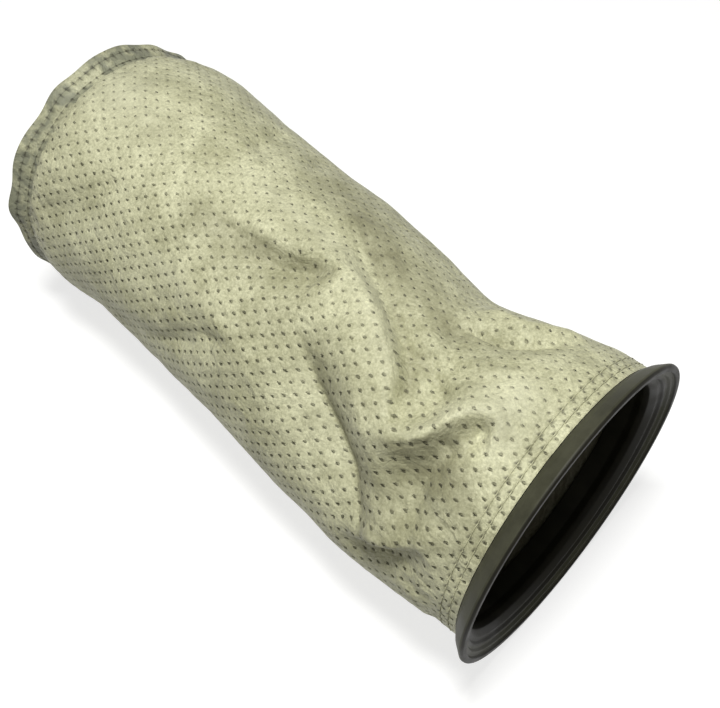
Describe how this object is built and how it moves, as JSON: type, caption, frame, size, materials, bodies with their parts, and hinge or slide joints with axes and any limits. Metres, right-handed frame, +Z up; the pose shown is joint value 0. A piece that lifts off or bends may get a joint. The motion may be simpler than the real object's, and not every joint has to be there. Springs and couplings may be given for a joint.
{
  "type": "cloth vacuum bag",
  "caption": "Round filter bag of embossed cloth, sewn to a moulded rubber collar at its open mouth and closed by a seamed round panel at its far end.",
  "frame": {"origin": "centre of the bag's box on the surface it lies on", "axes": "+X along the bag towards its mouth, +Z up"},
  "size_m": [0.401, 0.2044, 0.1905],
  "materials": {
    "filter_cloth": "embossed matt cloth",
    "collar_rubber": "moulded, satin"
  },
  "bodies": {
    "root": {"cloth_tube": "filter_cloth", "end_panel": "filter_cloth", "collar": "collar_rubber"}
  },
  "joints": []
}
